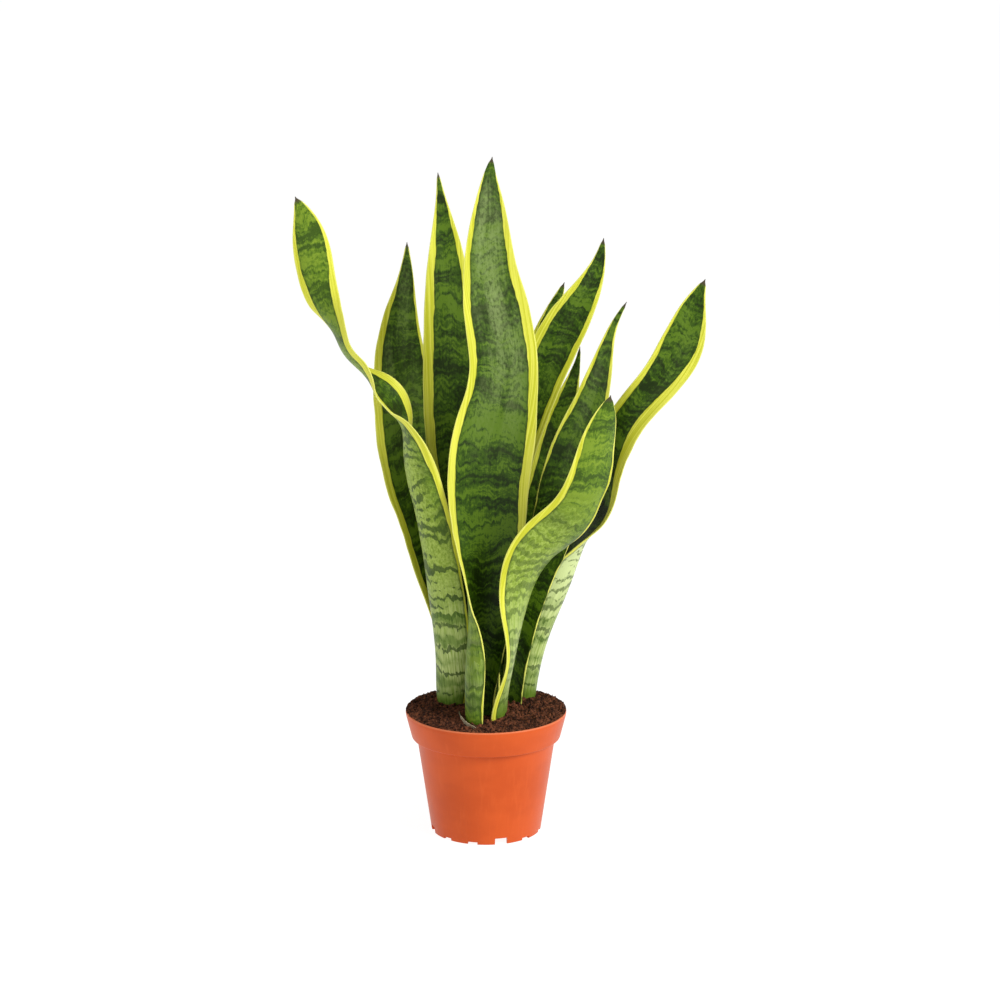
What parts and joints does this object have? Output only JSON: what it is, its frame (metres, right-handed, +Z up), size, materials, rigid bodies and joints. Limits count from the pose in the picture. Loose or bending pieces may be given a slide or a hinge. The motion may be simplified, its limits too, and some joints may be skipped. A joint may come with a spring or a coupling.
{
  "type": "potted snake plant",
  "caption": "Snake plant with sword-shaped, yellow-edged leaves standing in dark potting soil in a tapered plastic nursery pot.",
  "frame": {"origin": "centre of the flat boss under the pot, on the ground", "axes": "+Z up along the pot's axis; -Y towards the plant's front, where the tall smooth leaf faces; +X to the plant's right"},
  "size_m": [0.2964, 0.1537, 0.5032],
  "materials": {
    "pot_plastic": "satin terracotta-orange moulded polypropylene",
    "potting_soil": null,
    "leaf_green": null,
    "dry_scale": "matt papery dry leaf base"
  },
  "bodies": {
    "root": {"pot": "pot_plastic", "potting_soil": "potting_soil", "leaf_front_tall": "leaf_green", "leaf_front_curved": "leaf_green", "leaf_left_twisted": "leaf_green", "leaf_right_twisted": "leaf_green", "leaf_back_left": "leaf_green", "leaf_back_tall": "leaf_green", "leaf_back_right": "leaf_green", "leaf_back_slim": "leaf_green", "leaf_right_middle": "leaf_green", "leaf_right_small": "leaf_green", "dry_scale": "dry_scale"}
  },
  "joints": []
}
